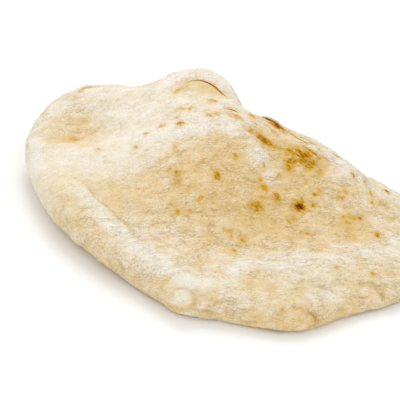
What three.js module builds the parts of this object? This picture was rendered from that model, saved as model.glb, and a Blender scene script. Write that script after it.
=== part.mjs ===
// A puffed pita bread, one solid of baked dough. Millimetres, +Z up.
//
// The bread is worked out on rings round its middle. A place on it is a direction round the
// bread and a share of the way from the middle (0) to the widest line of the rim (1). Both
// faces share that line, so the body is closed. The upper face is the rim's level, a rounded
// roll inside it, a crease inside the roll, and the swells and hollows that steam left in the
// crust. The lower face lies flat in the middle and curls up to the widest line.

import * as THREE from "three";

// Outline seen from above: a mean radius, the waves that make it uneven, and local bulges (a
// flat stretch has a size below zero).
const MEAN_RADIUS = 86.2;
const OUTLINE_WAVES = [
  { lobes: 2, size: 9.0, turn: 151 },
  { lobes: 3, size: 2.1, turn: 25 },
  { lobes: 4, size: 1.4, turn: 1 },
  { lobes: 5, size: 0.5, turn: 21 },
  { lobes: 6, size: 0.6, turn: 42 },
  { lobes: 7, size: 0.5, turn: 51 },
];
const OUTLINE_BULGES = [
  { turn: 20, half: 16, size: 6.5 },
  { turn: 58, half: 18, size: -6.5 },
  { turn: 174, half: 10, size: 1.6 },
  { turn: 244, half: 16, size: -2.6 },
  { turn: 279, half: 13, size: -6.2 },
  { turn: 314, half: 13, size: -5.2 },
  { turn: 347, half: 14, size: 4.0 },
];

// Height of the rim's widest line over the table: low in front, curled up on one side.
const RIM_LOWEST = 3.4;
const RIM_CURL = 9.0;
const RIM_CURL_TURN = 160;
const RIM_CORNER_LIFT = 7.0;
const RIM_CORNER_TURN = 145;
const RIM_CORNER_HALF = 22;

// The roll of thick crust inside the widest line, and the crease where it meets the top.
const ROLL_HEIGHT = 9.0;
const ROLL_HEIGHT_SWING = 2.5;
const ROLL_HEIGHT_TURN = 235;
const ROLL_WIDTH = 17;
const ROLL_EXTRA_WIDTH = 19;
const ROLL_WIDE_TURN = 320;
const ROLL_WIDE_HALF = 36;
const CREASE_DEPTH = 1.5;
const CREASE_EXTRA_DEPTH = 2.2;
const CREASE_DEEP_TURN = 215;
const CREASE_DEEP_HALF = 35;
const CREASE_END = 1.55;

// Level of the upper face in the middle, before the roll and the swells are added.
const MIDDLE_LEVEL = 8.0;
const RIM_TAKES_OVER = [0.15, 0.6];
const LEVEL_BLEND = [0.1, 1.0];

// Swells of the upper face, and hollows, which have a height below zero. Each is a bell round
// (x, y), turned by turn degrees, that reaches along one way and near or far across it. It
// dies out towards the rim over fade, a distance in from the widest line.
const CROWN_FADE = [3.4, 34];
const RIM_FADE = [0, 7];
const SWELLS = [
  { name: "mound", height: 23.5, x: -20, y: 22, turn: 9, along: 34, near: 46, far: 60, sharp: 1.2, fade: CROWN_FADE },
  { name: "shoulder", height: 20.8, x: 31, y: 32, turn: -18, along: 44, near: 32, far: 17, sharp: 1.2, fade: CROWN_FADE },
  { name: "crest", height: 5.2, x: 25, y: 42, turn: -30, along: 15, near: 9, far: 9, sharp: 1, fade: CROWN_FADE },
  { name: "haunch", height: 2.2, x: 60, y: 26, turn: -30, along: 8, near: 8, far: 8, sharp: 1, fade: CROWN_FADE },
  { name: "saddle", height: -8.5, x: 4.5, y: 47, turn: 0, along: 8, near: 10, far: 12, sharp: 1, fade: CROWN_FADE },
  { name: "knoll", height: 10.8, x: -20, y: 62, turn: -5, along: 24, near: 18, far: 21, sharp: 1.5, fade: CROWN_FADE },
  { name: "brow", height: 4.5, x: -36, y: 61, turn: 20, along: 10, near: 9, far: 14, sharp: 1, fade: CROWN_FADE },
  { name: "corner", height: 7.5, x: -66, y: 48, turn: 50, along: 17, near: 18, far: 18, sharp: 1, fade: CROWN_FADE },
  { name: "ridge", height: 7, x: -69, y: 1, turn: 8, along: 28, near: 14, far: 7, sharp: 1, fade: CROWN_FADE },
  { name: "dimple", height: -5.7, x: -74, y: 27, turn: 30, along: 15, near: 10, far: 11, sharp: 1, fade: CROWN_FADE },
  { name: "hollow", height: -3.5, x: 6, y: -40, turn: 0, along: 34, near: 13, far: 13, sharp: 1, fade: CROWN_FADE },
  { name: "bubble", height: 2.6, x: -13, y: -75, turn: 0, along: 8, near: 7, far: 7, sharp: 1, fade: RIM_FADE },
];

// The lower face is flat, and curls up to the widest line. The curl is so many times as wide as
// that line is high.
const CURL_SPREAD = 2.2;

// How full the rim's section is: 2 is an ellipse, and more is nearer to a box.
const EDGE_FULLNESS = 2.4;

// Fineness of the faceted solid.
const SEGMENTS = 96;
const UPPER_RINGS = 24;
const LOWER_RINGS = 7;

const CRUST_COLOUR = 0xe8d3a8;
const CRUST_ROUGHNESS = 0.85;

const FULL_TURN = 2 * Math.PI;
const radians = THREE.MathUtils.degToRad;

// A smooth step from 0 at low to 1 at high.
function ease([low, high], value) {
  return THREE.MathUtils.smoothstep(value, low, high);
}

// A bell round a direction: 1 at turn, and 1/e half degrees away from it, both ways.
function bell(angle, turn, half) {
  const apart = THREE.MathUtils.euclideanModulo(angle - radians(turn) + Math.PI, FULL_TURN) - Math.PI;
  return Math.exp(-((apart / radians(half)) ** 2));
}

// Radius of the widest line in a direction.
function outline(angle) {
  let radius = MEAN_RADIUS;
  for (const wave of OUTLINE_WAVES) {
    radius += wave.size * Math.cos(wave.lobes * (angle - radians(wave.turn)));
  }
  for (const bulge of OUTLINE_BULGES) {
    radius += bulge.size * bell(angle, bulge.turn, bulge.half);
  }
  return radius;
}

// Height of the widest line in a direction.
function rimLevel(angle) {
  const curl = 0.5 + 0.5 * Math.cos(angle - radians(RIM_CURL_TURN));
  const corner = bell(angle, RIM_CORNER_TURN, RIM_CORNER_HALF);
  return RIM_LOWEST + RIM_CURL * curl ** 2 + RIM_CORNER_LIFT * corner;
}

// The rim's section: a quarter of a full ellipse that is 0 at 0 and climbs to 1 at 1, where it
// is level. It leaves 0 straight up.
function edgeRise(inward) {
  return (1 - (1 - inward) ** EDGE_FULLNESS) ** (1 / EDGE_FULLNESS);
}

// What one swell adds at (x, y): its height times a bell with two different flanks.
function swellAt(swell, x, y) {
  const turn = radians(swell.turn);
  const along = (x - swell.x) * Math.cos(turn) + (y - swell.y) * Math.sin(turn);
  const across = (y - swell.y) * Math.cos(turn) - (x - swell.x) * Math.sin(turn);
  const flank = across < 0 ? swell.near : swell.far;
  const away = (along / swell.along) ** 2 + (across / flank) ** 2;
  return swell.height * Math.exp(-(away ** swell.sharp));
}

// A point of the upper face.
function upperPoint(angle, share) {
  const radius = outline(angle);
  const x = radius * share * Math.cos(angle);
  const y = radius * share * Math.sin(angle);
  const inward = radius * (1 - share);
  const rimPart = ease(RIM_TAKES_OVER, share);

  const width = ROLL_WIDTH + ROLL_EXTRA_WIDTH * bell(angle, ROLL_WIDE_TURN, ROLL_WIDE_HALF);
  const swing = ROLL_HEIGHT_SWING * Math.cos(angle - radians(ROLL_HEIGHT_TURN));
  const roll = (ROLL_HEIGHT + swing * rimPart) * edgeRise(Math.min(inward / width, 1));

  const extraCrease = CREASE_EXTRA_DEPTH * bell(angle, CREASE_DEEP_TURN, CREASE_DEEP_HALF);
  const crease = (CREASE_DEPTH + extraCrease * rimPart) * ease([1, CREASE_END], inward / width);

  const level = MIDDLE_LEVEL + (rimLevel(angle) - MIDDLE_LEVEL) * ease(LEVEL_BLEND, share);
  let height = level + roll - crease;
  for (const swell of SWELLS) {
    height += swellAt(swell, x, y) * ease(swell.fade, inward);
  }
  return [x, y, height];
}

// A point of the lower face's curl, from the flat's edge (0) to the widest line (1): the rim's
// section upside down.
function lowerPoint(angle, share) {
  const level = rimLevel(angle);
  const radius = outline(angle) - CURL_SPREAD * level * (1 - share);
  const height = level * (1 - edgeRise(1 - share));
  return [radius * Math.cos(angle), radius * Math.sin(angle), height];
}

// Shares of the rings outwards, from above 0 to 1, crowded where the faces turn steep.
function ringShares(count) {
  const shares = [];
  for (let ring = 1; ring <= count; ring += 1) {
    shares.push(Math.sin((Math.PI / 2) * (ring / count)));
  }
  return shares;
}

// Both faces as one closed mesh. The rings run from the middle of the top, out over the rim
// and back to the flat middle of the underside.
function pitaGeometry() {
  const rings = ringShares(UPPER_RINGS).map((share) => ({ share, point: upperPoint }));
  const under = [0, ...ringShares(LOWER_RINGS).slice(0, -1)].reverse();
  rings.push(...under.map((share) => ({ share, point: lowerPoint })));

  const vertices = [];
  for (const ring of rings) {
    for (let step = 0; step < SEGMENTS; step += 1) {
      vertices.push(...ring.point((FULL_TURN * step) / SEGMENTS, ring.share));
    }
  }
  const topMiddle = vertices.length / 3;
  vertices.push(...upperPoint(0, 0));
  const underMiddle = topMiddle + 1;
  vertices.push(0, 0, 0);

  const triangles = [];
  const last = (rings.length - 1) * SEGMENTS;
  for (let step = 0; step < SEGMENTS; step += 1) {
    const next = (step + 1) % SEGMENTS;
    triangles.push(topMiddle, step, next);
    triangles.push(underMiddle, last + next, last + step);
    for (let inner = 0; inner < last; inner += SEGMENTS) {
      const outer = inner + SEGMENTS;
      triangles.push(inner + step, outer + step, outer + next);
      triangles.push(inner + step, outer + next, inner + next);
    }
  }

  const geometry = new THREE.BufferGeometry();
  geometry.setAttribute("position", new THREE.Float32BufferAttribute(vertices, 3));
  geometry.setIndex(triangles);
  return centred(geometry);
}

// The origin goes to the middle of the bread's box, on the table.
function centred(geometry) {
  geometry.computeBoundingBox();
  const middle = geometry.boundingBox.getCenter(new THREE.Vector3());
  geometry.translate(-middle.x, -middle.y, -geometry.boundingBox.min.z);
  geometry.computeVertexNormals();
  return geometry;
}

const crust = new THREE.MeshStandardMaterial({
  color: CRUST_COLOUR,
  roughness: CRUST_ROUGHNESS,
  metalness: 0,
});

const pita = new THREE.Mesh(pitaGeometry(), crust);
pita.name = "pita";

const bread = new THREE.Group();
bread.add(pita);

export default bread;
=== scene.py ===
"""A puffed pita bread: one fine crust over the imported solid, on a pale studio floor.

Lengths are metres in Blender. The bread's own formulas work in millimetres, as the solid's do,
and are turned into metres when the mesh is made. The relief and the toasting are worked out for
every vertex at once. A named feature is placed by the pixel it falls on in a camera frame of
400 by 400 pixels, and its sizes are millimetres on the crust.
"""

from collections import namedtuple

import bpy
import numpy as np
from mathutils import Matrix, Vector


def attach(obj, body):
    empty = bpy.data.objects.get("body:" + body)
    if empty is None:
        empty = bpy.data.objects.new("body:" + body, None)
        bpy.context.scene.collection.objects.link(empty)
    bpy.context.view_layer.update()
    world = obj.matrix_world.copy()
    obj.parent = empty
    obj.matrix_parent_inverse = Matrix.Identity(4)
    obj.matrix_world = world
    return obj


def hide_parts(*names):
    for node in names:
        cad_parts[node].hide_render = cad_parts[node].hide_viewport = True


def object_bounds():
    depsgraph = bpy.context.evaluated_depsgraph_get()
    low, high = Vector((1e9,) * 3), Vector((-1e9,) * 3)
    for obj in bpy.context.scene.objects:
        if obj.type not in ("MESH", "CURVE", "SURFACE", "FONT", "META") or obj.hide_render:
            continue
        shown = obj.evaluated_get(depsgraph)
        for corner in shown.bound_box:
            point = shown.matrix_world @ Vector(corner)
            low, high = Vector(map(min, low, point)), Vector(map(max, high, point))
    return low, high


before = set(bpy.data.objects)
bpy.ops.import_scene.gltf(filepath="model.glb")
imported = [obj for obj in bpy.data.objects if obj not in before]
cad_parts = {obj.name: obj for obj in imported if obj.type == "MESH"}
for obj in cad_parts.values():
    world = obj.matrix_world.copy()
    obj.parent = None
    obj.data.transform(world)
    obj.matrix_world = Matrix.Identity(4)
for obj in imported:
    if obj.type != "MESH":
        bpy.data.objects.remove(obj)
CAD_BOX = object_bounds()
MM = 0.001

# ---------------- the bread's driving sizes, mm

# Outline seen from above: a mean radius, waves (lobes, size, turn) and local bulges (turn, half
# width in degrees, size).
MEAN_RADIUS = 86.2
OUTLINE_WAVES = [(2, 9.0, 151), (3, 2.1, 25), (4, 1.4, 1), (5, 0.5, 21), (6, 0.6, 42), (7, 0.5, 51)]
OUTLINE_BULGES = [
    (20, 16, 6.5), (58, 18, -6.5), (174, 10, 1.6), (244, 16, -2.6), (279, 13, -6.2),
    (314, 13, -5.2), (347, 14, 4.0),
]

# Height of the rim's widest line over the table.
RIM_LOWEST = 3.4
RIM_CURL = 9.0
RIM_CURL_TURN = 160
RIM_CORNER_LIFT = 7.0
RIM_CORNER_TURN = 145
RIM_CORNER_HALF = 22

# The roll of thick crust inside the widest line, and the crease inside the roll.
ROLL_HEIGHT = 9.0
ROLL_HEIGHT_SWING = 2.5
ROLL_HEIGHT_TURN = 235
ROLL_WIDTH = 17
ROLL_EXTRA_WIDTH = 19
ROLL_WIDE_TURN = 320
ROLL_WIDE_HALF = 36
CREASE_DEPTH = 1.5
CREASE_EXTRA_DEPTH = 2.2
CREASE_DEEP_TURN = 215
CREASE_DEEP_HALF = 35
CREASE_END = 1.55

# The upper face's level in the middle, and the shares of the radius over which the rim's swings
# and its level take over. The lower face's curl is so many times as wide as the rim is high.
MIDDLE_LEVEL = 8.0
RIM_TAKES_OVER = (0.15, 0.6)
LEVEL_BLEND = (0.1, 1.0)
CURL_SPREAD = 2.2
EDGE_FULLNESS = 2.4

# Swells of the upper face, and hollows, which have a height below zero. Each is turned by turn
# degrees, reaches along one way and near or far across it, and fades out towards the rim.
CROWN_FADE = (3.4, 34)
RIM_FADE = (0, 7)
Swell = namedtuple("Swell", "height x y turn along near far sharp fade")
SWELLS = {
    "mound": Swell(23.5, -20, 22, 9, 34, 46, 60, 1.2, CROWN_FADE),
    "shoulder": Swell(20.8, 31, 32, -18, 44, 32, 17, 1.2, CROWN_FADE),
    "knoll": Swell(10.8, -20, 62, -5, 24, 18, 21, 1.5, CROWN_FADE),
    "brow": Swell(4.5, -36, 61, 20, 10, 9, 14, 1.0, CROWN_FADE),
    "saddle": Swell(-8.5, 4.5, 47, 0, 8, 10, 12, 1.0, CROWN_FADE),
    "crest": Swell(5.2, 25, 42, -30, 15, 9, 9, 1.0, CROWN_FADE),
    "haunch": Swell(2.2, 60, 26, -30, 8, 8, 8, 1.0, CROWN_FADE),
    "corner": Swell(7.5, -66, 48, 50, 17, 18, 18, 1.0, CROWN_FADE),
    "ridge": Swell(7.0, -69, 1, 8, 28, 14, 7, 1.0, CROWN_FADE),
    "dimple": Swell(-5.7, -74, 27, 30, 15, 10, 11, 1.0, CROWN_FADE),
    "hollow": Swell(-3.5, 6, -40, 0, 34, 13, 13, 1.0, CROWN_FADE),
    "bubble": Swell(2.6, -13, -75, 0, 8, 7, 7, 1.0, RIM_FADE),
}

# Cells along a side of each face's square grid. The upper one has twice as many, so that a strip
# of triangles can join their borders.
UPPER_CELLS = 272
LOWER_CELLS = UPPER_CELLS // 2
SECTION_SAMPLES = 4000

# ---------------- camera, floor and light

FRAME_PIXELS = 400
HALF_FRAME = FRAME_PIXELS / 2
PIXEL_MM = 0.46
ORIGIN_PIXEL = (224.2, 221.3)
CAMERA_ELEVATION = np.radians(34)
CAMERA_ROLL = np.radians(10)
CAMERA_DISTANCE = 2.2
CAMERA_CLIP = 50
SENSOR_MM = 36

FLOOR_SIZE = 12.0
FLOOR_TONE = 0.93
FLOOR_ROUGHNESS = 0.9
FLOOR_SPECULAR = 0.2

WHITE = (1.0, 1.0, 1.0)
SKY_STRENGTH = 0.925

# Lamps: where, metres, how wide, metres, and how many watts.
Light = namedtuple("Light", "place size power")
LIGHTS = {
    "overhead softbox": Light((-0.2, 0.7, 1.0), 0.6, 3.9),
    "front fill": Light((-0.1, -1.4, 0.45), 1.0, 2.4),
}

# ---------------- creases, ridges and flaps
# Each follows a line of pixels. Sizes are mm: how deep its groove is (a ridge is negative), how
# wide its half is, how far the crust on the line's right-hand side stands above the left, and,
# where it has a dark line, how thick half of that line is. The dark lines are burnt, but the
# crescent flap's is painted shadow in the crevice under the flap.

Crease = namedtuple("Crease", "line depth half step burnt", defaults=(0.0,))
CREASES = {
    # Painted shadow: the crescent flap's dark line stands for the crevice under the flap.
    "crescent flap": Crease(
        [(184, 83), (189, 80.8), (194, 79.8), (200, 80), (206, 81.7), (213, 85.5), (218, 89.5), (223, 94),
         (228, 99)], 0.45, 1.3, -0.6, 0.2),
    "crescent's end": Crease([(172, 99), (176, 93), (181, 87)], 0.3, 1.3, -0.5),
    "crest split": Crease(
        [(258, 113.5), (264, 115.2), (270, 118), (276, 121.5), (281, 125),
         (285, 128)], 0.6, 1.3, -0.7, 0.6),
    "crest nick": Crease([(223, 108.5), (229, 108.5), (234, 109.8), (240, 112.5)], 0.4, 1.2, -0.4, 0.15),
    "crest streak": Crease([(333, 153.5), (338, 156), (342, 158)], 0.3, 1.2, -0.3, 0.12),
    "crest line": Crease([(288, 131.5), (295, 136), (303, 141), (310, 145)], 0.3, 1, 0, 0.1),
    "dimple lip": Crease(
        [(44, 144), (54, 142), (63, 143), (70, 142), (79, 138), (88, 135), (97, 131)], 0.8, 2, 1.8),
    "rim fold": Crease(
        [(84, 181), (89, 188), (99, 199), (107, 205.5), (116, 213), (125, 222), (137, 236),
         (150, 248)], 1.2, 2, 2.2),
    "edge seam": Crease(
        [(212, 318), (222, 320), (234, 321.5), (246, 323), (258, 323.5), (270, 323)], 0.8, 1.2, 0),
    "knob fold": Crease(
        [(174, 289.5), (183, 288.5), (190.5, 291.5), (194.5, 297), (194.5, 303), (191, 308)], 1.2, 1, 0.8),
    "knob arc": Crease([(194, 288), (199, 292), (201.5, 298), (200, 305)], 0.7, 0.9, 0.5),
    "lip groove": Crease(
        [(164, 301), (169, 306), (176, 309), (185, 310), (195, 310), (206, 312.5),
         (218, 315)], 1.3, 1, 0.9),
    "edge tuck": Crease([(205, 308.5), (211, 305.5), (219, 302.5), (232, 301), (246, 303)], 0.8, 1.4, 0.9),
    "edge fold": Crease([(222, 310), (234, 311), (246, 309.5), (258, 312), (268, 317)], 0.8, 1.5, 0.8),
    "small blister's rim": Crease(
        [(274.5, 309), (278, 306), (283.5, 306.5), (286, 311), (283, 315.5), (277.5, 315.5),
         (274.5, 312)], 0.6, 0.9, 0),
    "large blister's rim": Crease(
        [(292.5, 312), (294.5, 306.5), (300.5, 304), (306.5, 306), (309.5, 311.5), (308, 317), (302, 320),
         (295.5, 317.5)], 0.9, 1, 0),
    "right fold": Crease(
        [(357, 281), (366, 282), (374, 285), (381, 290), (385, 296), (385.5, 304)], 1.1, 1.3, -2),
    "panel fold": Crease(
        [(311, 276), (317, 281.5), (323, 286.5), (330, 288.5), (337, 290)], 0.9, 1.7, -1.3),
    "edge notch": Crease([(311, 310.5), (314, 314.5), (317.5, 319), (317.5, 325)], 1.6, 1.1, 0.6),
    "lobe ridge": Crease([(243, 121), (250, 136), (257, 151), (265, 167), (276, 181)], -1.5, 4, 0),
    "left lobe arc": Crease(
        [(156, 160), (165, 149), (175, 143), (188, 138.5), (203, 136), (218, 137), (229, 142),
         (236, 150)], 0.5, 2, 0.6),
}

# A step dies away over some mm, and rises over a share of its crease's half width. A crease tapers
# off over a share of its length at each end. A dark line is felt so many mm aside, and a power of
# more than 1 puts its thickest place past its middle.
STEP_REACH = 6.0
STEP_SHARPNESS = 0.6
LINE_TAPER = 0.12
SEAM_REACH = 4.0
SEAM_TAPER = 1.3

# ---------------- spots and bands
# A spot lies at a pixel, u across and v down, is so many mm wide and deep, has an amount, and may
# be turned by an angle in the crust's own plane. A band follows a line of pixels, with the mm
# that its half is wide, and has an amount.

Spot = namedtuple("Spot", "u v wide deep amount turn", defaults=(0,))
Band = namedtuple("Band", "line half amount")


def spots(*rows):
    """One spot for each row of numbers."""
    return [Spot(*row) for row in rows]


def bands(*rows):
    """One band for each row of a line and its numbers."""
    return [Band(*row) for row in rows]


# Toasted marks, whose amount goes from 0, not toasted, to 1 and over, burnt dark brown. A mark
# ends at so many of its half-widths, and the crust swells by some mm as the toast under it rises
# past the limits.
CREST_BURNS = spots(
    (259, 137, 24, 10, 0.26, -24), (253, 134, 12, 6, 0.42, -20), (263.5, 139.5, 9.5, 5, 0.8, -18),
    (269, 144, 6, 3, 0.6, -30), (249, 132, 7, 3.4, 0.3, -22), (277, 147, 8, 5, 0.34, -20),
    (253, 115, 5, 3, 0.34, -10), (273, 122, 7, 4.4, 0.6, -38), (279, 125, 8, 4.2, 1, -40),
    (275, 122, 7, 2.2, 1, -36), (274, 130, 7, 2.4, 0.4, -40), (296, 152, 17, 7, 0.5, 10),
    (291, 159, 6, 11, 0.56, 25), (288, 166, 6, 8, 0.5, 20), (302, 154, 10, 5, 0.85, -15),
    (305, 158, 6, 10, 0.75, -35), (311, 164, 5, 10, 0.6, -35), (314, 153.5, 11, 2.6, 0.55, -27),
    (320, 171, 6, 8, 0.3, -30), (323, 157.5, 9, 5, 0.3, -27), (308, 150, 9, 3, 0.3, -27),
    (285, 150, 7, 5, 0.3), (235, 117, 12, 5, 0.34, -15), (212, 102.5, 6, 4, 0.44), (213, 115.5, 8, 4, 0.38),
    (294, 133.5, 9, 2, 0.25, -27), (303, 139, 8, 1.6, 0.2, -27), (309, 142.5, 3.5, 1.4, 0.35, -27),
    (319, 149.5, 3, 1.6, 0.4, -30), (177, 92, 9, 2.4, 0.32, 50),
)
MOUND_MARKS = spots(
    (299, 207.3, 5.4, 4.8, 1.2), (302, 200.5, 2.2, 3, 0.5), (312.5, 206, 3.6, 3.2, 0.5),
    (319, 207.5, 1.8, 2, 0.3), (294, 218, 3, 3, 0.46, 30), (289.5, 221.5, 2.5, 3, 0.44),
    (256, 206, 9, 7, 0.5), (262, 198, 7, 3, 0.36, 5), (276.5, 197, 4.4, 6.5, 0.52),
    (263.5, 188, 5.5, 4.2, 0.5, -10), (260, 180, 3.2, 2.5, 0.4), (262.5, 166.5, 2.2, 3, 0.4),
    (279, 175.5, 3.2, 3.2, 0.36), (287, 191, 3.6, 3, 0.24), (306, 182, 4.5, 5, 0.22),
    (320, 190.5, 3.2, 3, 0.52), (315.5, 194.5, 2.8, 3.6, 0.48), (322, 198.5, 2.4, 2.4, 0.26),
    (331, 198, 3.6, 3.4, 0.18), (341.5, 199.3, 2.6, 1.4, 0.55), (345.5, 192, 4, 4, 0.28),
    (234.5, 156.5, 3.2, 4, 0.52), (215, 156, 2.8, 2.8, 0.36), (216.8, 175.5, 3.8, 4.2, 0.56),
    (203, 161, 2.6, 2.2, 0.26), (196, 172, 2.4, 2.6, 0.24), (188.5, 163, 2, 2, 0.3),
    (175.5, 146.5, 3.4, 3.6, 0.4), (171, 168.8, 2.5, 2.4, 0.48), (177, 173.5, 2.6, 2.8, 0.55),
    (177, 182, 3, 3, 0.55), (188, 190, 3.4, 3.4, 0.38), (200, 198, 4, 3.6, 0.42),
    (170.7, 204, 2.4, 3.2, 0.34), (177.7, 211, 2.6, 3.2, 0.42), (190, 210, 2.4, 2.4, 0.42),
    (186, 216, 3, 2.4, 0.22), (166, 159, 2.4, 2.6, 0.22), (225, 210.5, 2.6, 3, 0.24),
    (242, 212, 3.6, 3, 0.2), (230.5, 231, 3.4, 3, 0.4), (231, 236.5, 2.8, 2.4, 0.36),
    (239.5, 235.5, 2.6, 2.4, 0.38), (243, 241.5, 3.8, 3.2, 0.44, -15), (234.5, 250.8, 2.8, 2.8, 0.44),
    (275, 227, 3.6, 3.6, 0.18), (264, 231, 4.2, 3.6, 0.18), (308, 233.6, 3, 2, 0.46),
    (297, 241.5, 5, 3, 0.16),
)
RIGHT_MARKS = spots(
    (349, 226, 12, 16, 0.2), (349, 216, 9, 4, 0.3), (344, 218, 4, 3, 0.42), (352, 217.5, 5, 3, 0.42),
    (359.5, 218, 2.4, 2.8, 0.62), (348, 223, 3.5, 3, 0.42, -20), (377, 235.5, 2.6, 4.5, 0.62, 10),
    (361, 209, 3.5, 3, 0.2), (353, 174.8, 1.8, 3.4, 0.6, 20), (364.5, 181, 1.6, 3, 0.4, 20),
    (372, 193.5, 1.8, 3.2, 0.6, 20), (386, 191.5, 1.5, 4, 0.85, 25), (372, 202, 1.8, 2.2, 0.56),
    (380, 203, 1.6, 3, 0.6, 20), (385.5, 204.5, 1.4, 2.6, 0.65, 35), (336.5, 268.5, 3.6, 3, 0.38),
    (338, 266.5, 2.6, 1.6, 0.3), (372, 272.5, 4.6, 5, 0.36), (354, 274, 3, 3, 0.14),
)
FLAT_MARKS = spots(
    (87, 88, 8, 3.4, 0.5), (82, 91.5, 5, 4, 0.4, 30), (75, 97, 6, 6, 0.2, 20), (114, 102, 8, 8, 0.14),
    (180, 123, 3.2, 2.6, 0.62), (162, 125, 4.6, 3, 0.38), (181, 109, 4.6, 2.4, 0.42),
    (190.5, 108, 2, 2.6, 0.46), (177.3, 117, 1.8, 1.8, 0.42), (194, 119, 1.6, 1.8, 0.3),
    (145.3, 134.6, 2.6, 2.2, 0.46, 20), (135.7, 146.7, 3.2, 2.6, 0.34), (135.7, 153, 3, 2.2, 0.2),
    (98.5, 149.3, 2.4, 1.6, 0.42), (78, 138, 9, 4, 0.28, 15), (66, 142, 7, 2.6, 0.3), (85, 120, 6, 6, 0.12),
    (72, 128, 8, 7, 0.12),
)
RIM_MARKS = spots(
    (262, 287, 20, 10, 0.14), (268, 291, 3, 2, 0.16), (255, 285, 3, 2, 0.14), (262, 283, 3, 1.5, 0.14),
    (272, 286, 2, 1.5, 0.14), (264, 294, 2.5, 1.5, 0.14), (300.5, 311.5, 6.5, 7, 0.14),
    (302, 312, 3, 3, 0.24), (297, 310, 2.4, 2.4, 0.24), (300, 307, 3, 1.6, 0.24),
    (341, 312.5, 3, 1.6, 0.2, -10), (280.5, 311, 3.6, 4, 0.2), (208, 264, 8, 3, 0.12),
    (316.5, 318, 1.8, 4, 0.34, 10), (138, 281, 7, 5, 0.1), (326, 283, 8, 4, 0.14, -15),
    (261, 222, 28, 13, 0.15, -5), (350, 237, 14, 9, 0.18),
)
MARKS = CREST_BURNS + MOUND_MARKS + RIGHT_MARKS + FLAT_MARKS + RIM_MARKS
MARK_RIM = 1.4
MARK_SWELL = 0.3
MARK_SWELL_TOAST = (0.2, 0.6)

# A mark's weak halo: how many mm wider it is than the mark, and its share of the mark's toast.
HALO_WIDER = 3.5
HALO_TOAST = 0.42

# Random marks for what the camera's frame doesn't show. A drawn number is the least one, plus
# the spread times a random number to a power.
Draw = namedtuple("Draw", "least spread power")
LONELY_MARKS = 90
LONELY_RADIUS = Draw(1.0, 2.8, 3)
LONELY_TOAST = Draw(0.2, 0.45, 1.5)
LONELY_FACING = 0.08
RANDOM_SEED = 11

# Blisters, whose amount is their height in mm.
BLISTERS = spots(
    (181, 300, 11, 8.5, 2.6), (202, 307, 3.4, 3.6, 0.9), (167, 288, 4, 7, 0.8), (280.5, 311, 4.6, 4.6, 0.9),
    (301, 312, 7, 7, 1), (324, 311, 10, 12, 1), (230, 298, 18, 7, 0.8), (262, 300, 20, 8, 0.6),
    (262, 287, 18, 16, -0.8), (205, 165, 34, 26, 1.2), (325, 296, 14, 12, 0.8), (258, 267, 24, 20, 0.8),
    (298, 207, 6, 6, -0.5), (330, 262, 12, 12, 0.6), (222, 117, 12, 8, 0.9), (232, 290, 14, 12, 0.6),
    (120, 255, 16, 12, 0.5),
)
BLISTER_POWER = 2.4

# Golden where the crust is baked deeper, and along its folds and round its knob, where the gold is
# partly painted shade; floury where it is pale; and how much coarser than 1 its grain is.
TINT_POWER = 3
GOLDEN_SPOTS = spots(
    (160, 198, 50, 36, 0.2, 20), (202, 185, 52, 46, 0.42), (270, 208, 56, 34, 0.7, -8),
    (260, 210, 26, 24, 0.45), (342, 207, 30, 14, -0.15, -12), (350, 231, 24, 18, 0.3),
    (230, 232, 80, 30, 0.34), (108, 198, 26, 22, 0.2, -40), (160, 224, 60, 26, -0.16, 20),
    (70, 126, 30, 34, 0.26, 15), (70, 137, 24, 8, 0.15, 10), (75, 225, 60, 24, 0.12, -48),
    (100, 254, 40, 18, 0.15, -36), (350, 222, 20, 26, 0.35), (285, 322, 44, 10, 0.3),
    (168, 284, 14, 16, 0.3), (211, 296, 11, 6, 0.4), (165, 118, 34, 14, 0.22), (140, 168, 80, 36, 0.05, 10),
    (303, 184, 16, 16, 0.18), (370, 302, 40, 12, 0.28, 10), (300, 305, 26, 26, 0.18),
    (275, 182, 20, 16, 0.25), (180, 91, 12, 12, 0.2), (207, 95, 26, 10, 0.35), (190, 86, 18, 14, 0.7),
    (150, 290, 40, 14, 0.18, -30), (85, 240, 34, 14, 0.05, -45), (80, 95, 22, 20, 0.12, 30),
    (326, 172, 26, 18, 0.6, -25), (257, 136, 26, 13, 0.6, -22), (300, 158, 42, 24, 0.45, -15),
    (300, 185, 50, 30, 0.2, -20), (383, 215, 24, 40, 0.25, 15), (284, 158, 14, 18, 0.2, -25),
    (372, 278, 40, 26, 0.2), (262, 288, 24, 26, 0.1), (224, 164, 18, 34, 0.85), (262, 222, 34, 16, 0.4),
    (266, 198, 34, 24, 0.5), (330, 248, 30, 14, 0.25), (150, 148, 24, 14, 0.25),
    (215, 140, 30, 12, 0.15, 5), (250, 138, 14, 14, 0.4), (365, 238, 24, 14, 0.12),
    (205, 263, 30, 14, 0.35), (232, 275, 40, 20, 0.1), (270, 270, 90, 24, 0.08), (325, 316, 28, 12, 0.4),
    (100, 225, 34, 12, 0.15, -40), (235, 112, 20, 10, 0.3),
)
# Painted shade, with the crust's own gold: golden lines in the creases and folds, along the lower edge, in
# the dimple, under the crescent flap and round the knob.
GOLD_AND_SHADE_BANDS = bands(
    ([(206, 315), (222, 316), (240, 318), (258, 320)], 2.2, 0.45),
    ([(60, 224), (75, 241), (90, 255), (108, 267)], 3, 0.3),
    ([(170, 304), (176, 307), (184, 308), (191, 306.5)], 1.5, 0.7),
    ([(193, 292), (196, 297), (196, 302), (193, 307)], 1, 0.6),
    ([(172, 288), (174, 294), (170, 299)], 1, 0.4), ([(48, 140), (60, 139), (75, 137)], 1.6, 0.35),
    ([(187, 85), (195, 83.5), (204, 85.5), (212, 90), (219, 95)], 1.8, 0.4),
    ([(45, 128), (54, 119), (66, 112)], 2, 0.3), ([(70, 119), (82, 122), (92, 130)], 2.6, 0.3),
    ([(158, 158), (166, 149), (176, 143), (189, 139), (204, 137), (219, 138), (230, 143),
      (236, 150)], 1.4, 0.12),
)
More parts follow.
